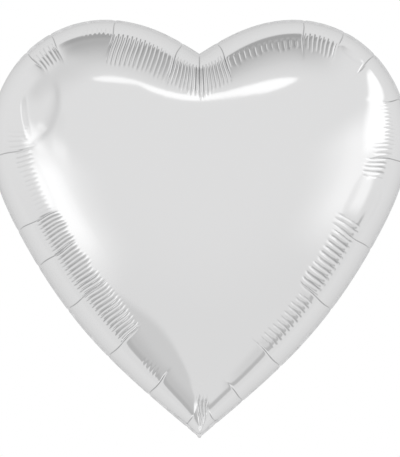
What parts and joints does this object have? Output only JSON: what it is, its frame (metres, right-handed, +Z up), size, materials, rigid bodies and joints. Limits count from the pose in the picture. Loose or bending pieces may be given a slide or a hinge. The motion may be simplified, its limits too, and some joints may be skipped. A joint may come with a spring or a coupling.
{
  "type": "heart-shaped foil balloon",
  "caption": "Inflated heart-shaped balloon of two welded mirror-foil sheets, puckered round its edge, with a folded filling tail, a flat self-closing valve and a ribbon hole.",
  "frame": {"origin": "the heart's bottom point, in the middle plane between the two foil sheets", "axes": "+Z up from the bottom point to the cleft, front of the balloon towards -Y, folded tail towards +Y, +X to the right seen from the front"},
  "size_m": [0.38, 0.1596, 0.3789],
  "materials": {
    "foil": "mirror-bright metallised film",
    "weld": "semi-gloss heat-sealed film",
    "valve_film": "clear soft film"
  },
  "bodies": {
    "envelope": {"front_foil": "foil", "back_foil": "foil", "perimeter_seal": "weld", "neck_fold": "weld"},
    "tail": {"tail_back_ply": "foil", "tail_side_seals": "weld", "valve_sleeve_back": "valve_film"},
    "tail_mouth": {"tail_front_ply": "foil", "valve_sleeve_front": "valve_film"},
    "valve_front": {"valve_flap_front": "valve_film"},
    "valve_back": {"valve_flap_back": "valve_film"}
  },
  "joints": [
    {"name": "tail_fold", "type": "hinge", "parent": "envelope", "child": "tail", "pos_m": [0, 0.0018, 0], "axis": [-1, 0, 0], "range_deg": [0, 170]},
    {"name": "tail_mouth_open", "type": "hinge", "parent": "tail", "child": "tail_mouth", "pos_m": [0, 0.00371, 0.00077], "axis": [-1, 0, 0], "range_deg": [0, 8]},
    {"name": "valve_front_open", "type": "hinge", "parent": "envelope", "child": "valve_front", "pos_m": [0, -0.0002, 0.018], "axis": [1, 0, 0], "range_deg": [0, 6]},
    {"name": "valve_back_open", "type": "hinge", "parent": "envelope", "child": "valve_back", "pos_m": [0, 0.0002, 0.018], "axis": [1, 0, 0], "range_deg": [-6, 0]}
  ],
  "couplings": [
    {"joint": "valve_back_open", "follows": "valve_front_open", "ratio": -1}
  ]
}
